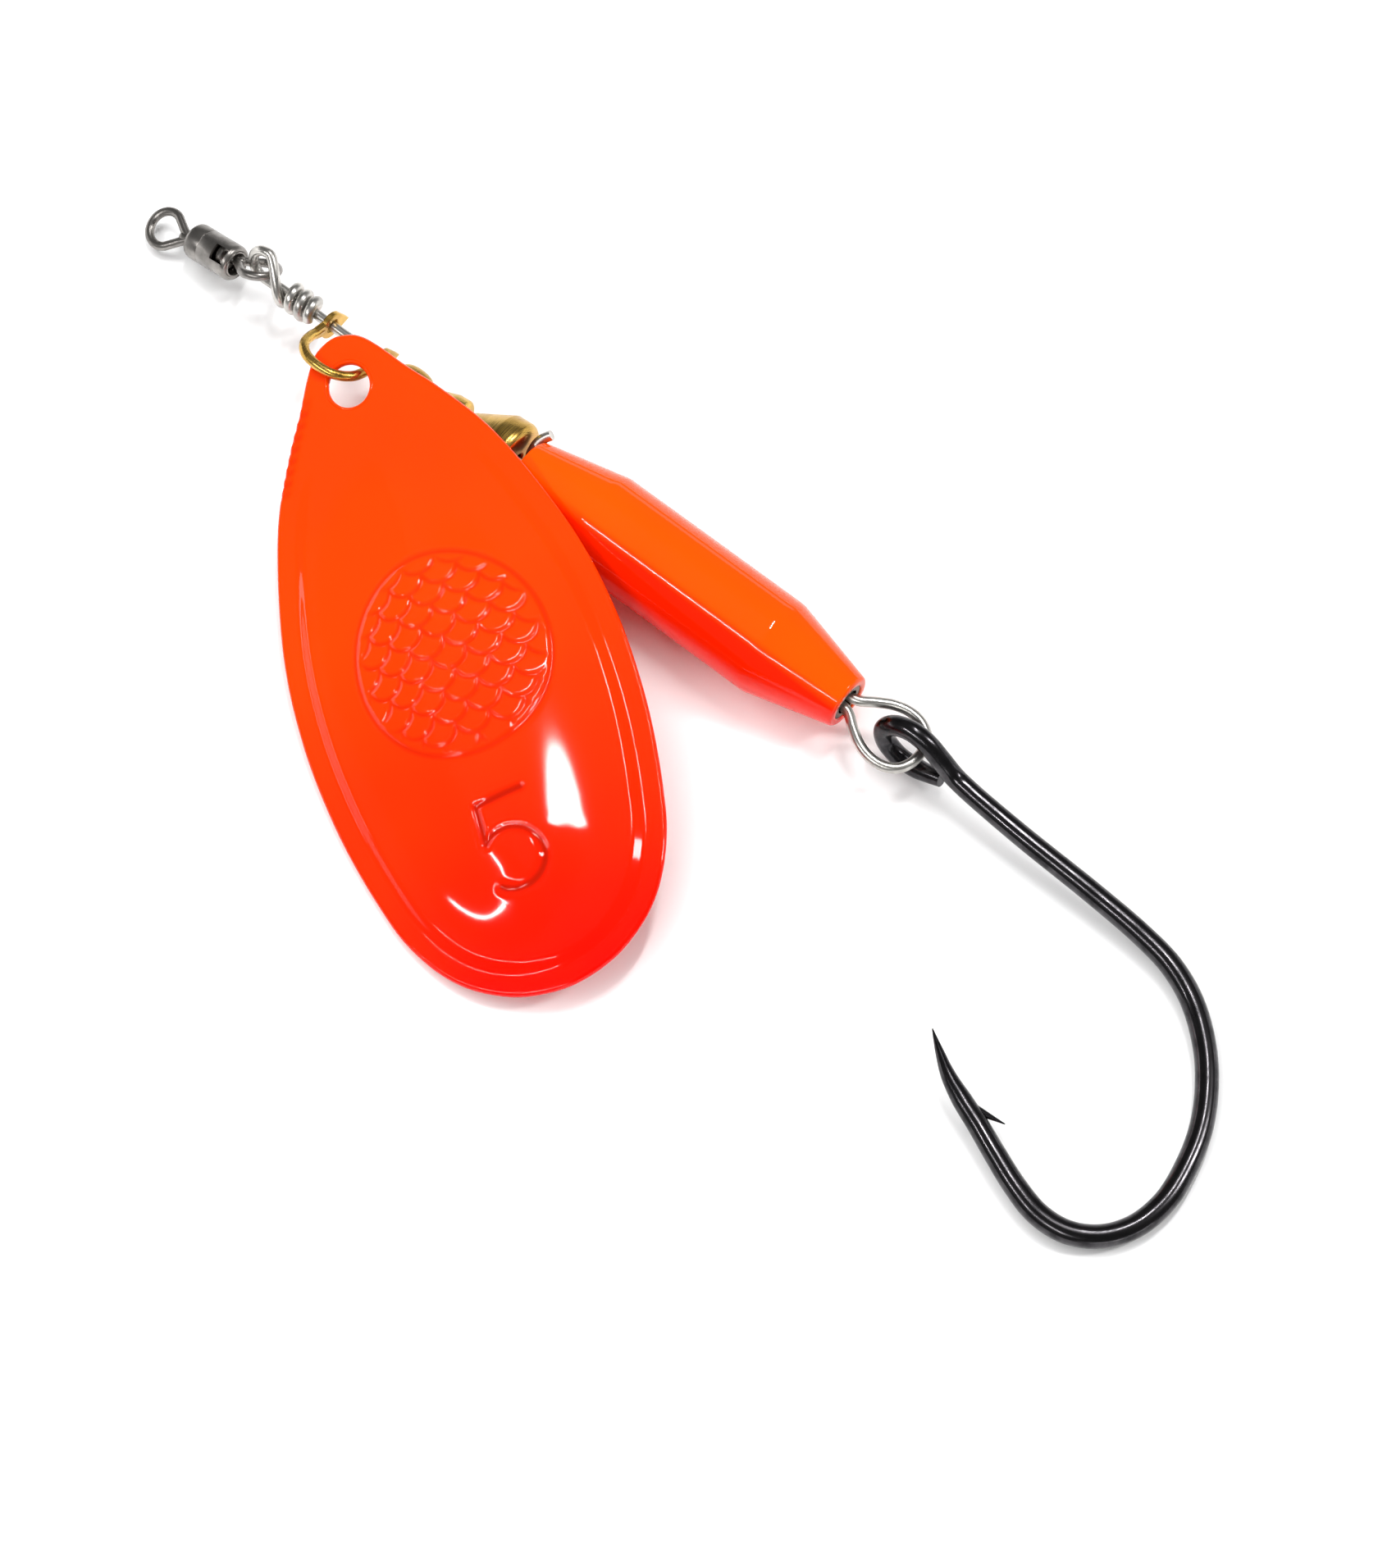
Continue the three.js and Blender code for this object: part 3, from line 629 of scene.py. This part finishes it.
def blade():
    """The domed plate, as rings from its middle to its edge, with the hole cut out."""
    turns = 480
    outline = blade_outline(turns) + (0, BLADE["aside"])
    middle = np.array((26.0, BLADE["aside"]))
    shares = np.r_[np.linspace(0.02, 0.8, 124), np.linspace(0.81, 1.0, 26)]
    flat = np.concatenate([middle + (outline - middle) * share for share in shares])
    stamp = stamp_depth(flat, outline)
    height = blade_height(flat, outline) - stamp
    half = BLADE["thickness"] / 2
    edge = edge_round(flat, outline)
    top = np.c_[flat, height + half - edge]
    bottom = np.c_[flat, height - half + edge]
    middles = [face[:turns].mean(axis=0) for face in (top, bottom)]
    vertices = [tuple(v) for v in (*top, *bottom, *middles)]
    offset = len(flat)
    centre_top = 2 * offset
    faces = []
    for ring in range(len(shares) - 1):
        for i in range(turns):
            j = (i + 1) % turns
            a, b = ring * turns + i, ring * turns + j
            faces.append([a, a + turns, b + turns, b])
            faces.append([offset + a, offset + b, offset + b + turns, offset + a + turns])
    last = (len(shares) - 1) * turns
    for i in range(turns):
        j = (i + 1) % turns
        faces.append([last + i, offset + last + i, offset + last + j, last + j])
        faces.append([centre_top, i, j])
        faces.append([centre_top + 1, offset + j, offset + i])
    shell = moved((vertices, faces), blade_matrix())
    plate = piece("blade_plate", [shell], "blade", BLADE_PAINT_AND_SHADE, ["blade"], math.radians(60))
    # The stamp depth, scaled 0 to 1, lets the paint darken the grooves with painted shade.
    shade = plate.data.attributes.new("stamp", "FLOAT", "POINT")
    shade.data.foreach_set("value", np.r_[stamp, stamp, 0, 0] / stamp.max())
    low, high = oval(0.3, -2), oval(0.3, 2)
    count = len(low)
    walls = [list(reversed(range(count))), list(range(count, 2 * count))]
    walls += [[i, (i + 1) % count, (i + 1) % count + count, i + count] for i in range(count)]
    cut(plate, moved((low + high, walls), blade_matrix()))
    hole_rim()


def oval(grow, z):
    """The blade's hole, grown and at one height, in the blade's own (along, across, out)."""
    turns = 64
    angles = [2 * math.pi * i / turns for i in range(turns)]
    return [((BLADE_HOLE["along"] + grow) * math.cos(a), (BLADE_HOLE["across"] + grow) * math.sin(a), z)
            for a in angles]


def hole_rim():
    """The rolled edge of the hole: an oval ring with a round section, slightly proud of the plate."""
    half = BLADE["thickness"] / 2 + 0.02
    rows = []
    for degrees in range(0, 360, 20):
        turn = math.radians(degrees)
        rows.append(oval(0.2 - 0.2 * math.cos(turn), half * math.sin(turn)))
    piece("blade_hole_rim", [moved(ring_shell(rows), blade_matrix())], "blade", BLADE_PAINT_AND_SHADE)


def swivel_eye(name, node, ring_centre, side):
    """A wire ring that closes to a shank, with a round head inside the barrel."""
    points = [(2.35, 0.12, 0), (1.85, 0.42, 0)]
    for step in range(13):
        angle = math.radians(45 + 22.5 * step)
        points.append((RING_RADIUS * math.cos(angle), RING_RADIUS * math.sin(angle), 0))
    points += [(1.85, -0.42, 0), (2.35, -0.12, 0)]
    head_from = (ring_centre - SWIVEL_MIDDLE).length - BARREL["length"] / 2 + BARREL["wall"] + 0.175
    ring = bent_bar(points, lambda along: RING_WIRE, 20, 5, 0.8)
    shank = bent_bar([(1.9, 0, 0), (2.4, 0, 0), (head_from + 0.3, 0, 0)],
                     lambda along: SHANK_RADIUS, 20, 3, 0.8)
    head = turned([(head_from + 0.5, 0.1), (head_from, 0.1), (head_from, 0.92), (head_from + 0.08, 1.0),
                   (head_from + 0.42, 1.0), (head_from + 0.5, 0.92)], 32)
    place = aimed(ring_centre, SWIVEL_MIDDLE, side)
    parts = [moved(shell, place) for shell in (ring, shank, head)]
    piece(name, parts, node, SWIVEL_NICKEL, [name.replace("_nickel", "")])


def swivel_barrel():
    """A hollow turned barrel with a groove round it and a small window cut in its side."""
    radius, length, cavity, hole, wall = BARREL.values()
    half = length / 2
    profile = [(wall - half, cavity), (wall - half, hole), (0.15 - half, hole)]
    profile += arc(0.1 - half, hole + 0.12, 0.1, 0.1, 200, 100, 4)
    profile += arc(0.45 - half, radius - 0.38, 0.45, 0.38, 165, 90, 8)
    profile += [(-0.9, radius), (-0.82, radius - 0.03), (-0.74, radius)]
    profile += arc(half - 0.45, radius - 0.38, 0.45, 0.38, 90, 15, 8)
    profile += arc(half - 0.1, hole + 0.12, 0.1, 0.1, 80, -20, 4)
    profile += [(half - 0.15, hole), (half - wall, hole), (half - wall, cavity)]
    place = aimed(BARREL_FRONT, SWIVEL_MIDDLE, Vector((0, 1, 0)))
    place = place @ Matrix.Translation(((SWIVEL_MIDDLE - BARREL_FRONT).length, 0, 0))
    shell = moved(turned(profile, 64), place)
    tube = piece("swivel_barrel_tube", [shell], "swivel_barrel", SWIVEL_NICKEL,
                 ["swivel_barrel"])
    window_to = half - BARREL_WINDOW["inset"]
    window_from = window_to - BARREL_WINDOW["length"]
    side = BARREL_WINDOW["width"] / 2
    corners = [(x, y, z) for x in (window_from, window_to) for y in (-side, side) for z in (0.6, 2.6)]
    box = (corners, [[0, 1, 3, 2], [4, 6, 7, 5], [0, 4, 5, 1], [2, 3, 7, 6], [0, 2, 6, 4], [1, 5, 7, 3]])
    cut(tube, moved(box, place @ Matrix.Rotation(BARREL_WINDOW["turn"], 4, "X")))


HOOK_EYE = [(-1.0, -1.25), (-2.2, -1.6), (-3.5, -1.85), (-4.9, -1.65), (-6.0, -0.8), (-6.35, 0.45),
            (-5.65, 1.65), (-4.3, 2.25), (-2.9, 2.0), (-1.45, 1.05), (0, 0)]
HOOK_SHANK = [(11.3, 0.45, 2.72), (13.8, 0.3, 2.55), (16.8, 0.18, 2.35), (22.4, 0.08, 1.95),
              (27.35, -0.18, 1.6), (30.4, -0.68, 1.4), (33.2, -1.9, 1.2), (35.85, -4, 1.05)]
HOOK_BEND = [(37.8, -6.35, 0.95), (39.3, -9, 0.92), (40.2, -11.8, 0.9), (40.65, -15.1, 0.9),
             (40.1, -18, 0.9), (38.7, -20.1, 0.92), (36.7, -21.35, 1.0), (34.35, -21.65, 1.15)]
HOOK_POINT = [(31.9, -21.1, 1.35), (29.5, -20.2, 1.5), (27.05, -19.2, 1.65), (25.1, -18.5, 1.8),
              (23.25, -17.7, 1.95), (21.6, -16.65, 2.05), (20.25, -15.7, 2.15)]
HOOK_RADII = [(0, 0.6), (0.05, 0.77), (0.35, 0.8), (0.5, 0.87), (0.8, 0.87), (0.875, 0.8),
              (0.91, 0.74), (0.94, 0.55), (0.97, 0.31), (1, 0.05)]


def hook():
    """The hook's bar, from its eye to its point, and the barb's sliver."""
    yaw, lean = math.radians(4), math.radians(8)
    along = Vector((math.cos(yaw), math.sin(yaw), 0))
    up = Vector((0, math.sin(lean), math.cos(lean)))
    points = [HOOK_THROAT + along * u + up * w for u, w in HOOK_EYE] + HOOK_SHANK + HOOK_BEND + HOOK_POINT
    at, size = zip(*HOOK_RADII)
    bar = bent_bar(points, lambda share: float(np.interp(share, at, size)), 24, 6)
    root, tip = Vector((26.0, -18.55, 1.8)), Vector((28.6, -18.0, 1.75))
    sliver = bent_bar([root, root.lerp(tip, 0.5), tip], lambda share: 0.42 - 0.38 * share, 12, 4)
    piece("hook_bend", [bar, sliver], "hook", BLACK_NICKEL, ["hook"])


# Floor, light and camera

CAMERA_TURN = math.radians(39.5)
CAMERA_LIFT = math.radians(65)
CAMERA_DISTANCE = 300
TARGET = Vector((-5.775, -10.908, 0))
LENS = 93.2


def floor():
    """A plain white table, just under the lure."""
    mesh = bpy.data.meshes.new("floor")
    reach = 3.0
    mesh.from_pydata([(-reach, -reach, 0), (reach, -reach, 0), (reach, reach, 0), (-reach, reach, 0)], [],
                     [(0, 1, 2, 3)])
    obj = bpy.data.objects.new("floor", mesh)
    bpy.context.scene.collection.objects.link(obj)
    obj.location.z = -0.0002
    material, surface = shader("white_table", (0.93, 0.93, 0.93), 0.0, 0.5)
    mesh.materials.append(material)


def area_light(name, direction, distance, size, energy, glossy=True):
    """A soft light aimed at the lure: direction is (right, away, up), size is (across, upward)."""
    right, away = view_frame()
    out = (right * direction[0] + away * direction[1] + Vector((0, 0, direction[2]))).normalized()
    across = Vector((0, 0, 1)).cross(out).normalized()
    data = bpy.data.lights.new(name, "AREA")
    data.shape = "RECTANGLE"
    data.size, data.size_y = size
    data.energy = energy
    obj = bpy.data.objects.new(name, data)
    bpy.context.scene.collection.objects.link(obj)
    place = Matrix((across, out.cross(across), out)).transposed().to_4x4()
    obj.matrix_world = Matrix.Translation(TARGET * MM + ORIGIN + out * distance) @ place
    obj.visible_glossy = glossy


def view_frame():
    """The camera's right and away directions on the table."""
    right = Vector((math.cos(CAMERA_TURN), math.sin(CAMERA_TURN), 0))
    away = Vector((-math.sin(CAMERA_TURN), math.cos(CAMERA_TURN), 0))
    return right, away


def lights():
    """A softbox that gloss doesn't show, strips that make the streaks, and dim walls for the metal."""
    area_light("softbox", (-0.32, 0.2, 0.92), 0.9, (0.8, 0.8), 6.0, glossy=False)
    area_light("blade_window", (0.135, 0.28, 0.95), 0.8, (0.036, 0.28), 2.1)
    area_light("edge_window", (0.66, 0.05, 0.75), 0.8, (0.08, 0.22), 2.2)
    area_light("body_strip", (-0.5, -0.47, 0.73), 0.8, (0.75, 0.014), 2.8)
    for name, right, away, energy in (("right_wall", 1.0, 0.3, 0.7), ("left_wall", -1.0, 0.4, 1.1),
                                      ("back_wall", 0.2, 1.0, 0.4), ("front_wall", 0.5, -1.0, 1.1)):
        area_light(name, (right, away, 0.16), 0.9, (0.9, 0.12), energy)
    world = bpy.data.worlds.new("studio")
    bpy.context.scene.world = world
    world.use_nodes = True
    background = world.node_tree.nodes["Background"]
    background.inputs["Color"].default_value = (1, 1, 1, 1)
    background.inputs["Strength"].default_value = 0.14


def camera():
    """Looks down at the lure from the blade's side."""
    _, away = view_frame()
    data = bpy.data.cameras.new("camera")
    data.lens = LENS
    data.clip_start = 0.01
    obj = bpy.data.objects.new("camera", data)
    bpy.context.scene.collection.objects.link(obj)
    target = TARGET * MM + ORIGIN
    back = Vector((0, 0, 1)) * math.sin(CAMERA_LIFT) - away * math.cos(CAMERA_LIFT)
    obj.location = target + back * CAMERA_DISTANCE * MM
    obj.rotation_euler = (-back).to_track_quat("-Z", "Y").to_euler()
    bpy.context.scene.camera = obj


camera()
floor()
lights()
shaft_wire()
body()
bearing("bell_brass", BELL, "bell")
bearing("hub_brass", HUB, "hub")
bead()
clevis()
blade()
swivel_eye("swivel_rear_eye_nickel", "swivel_rear", REAR_RING, Vector((0, 0.85, -0.53)))
swivel_eye("swivel_front_eye_nickel", "swivel_front", FRONT_RING, Vector((0, 0.92, 0.38)))
swivel_barrel()
hook()
bpy.context.scene.view_settings.view_transform = "Standard"
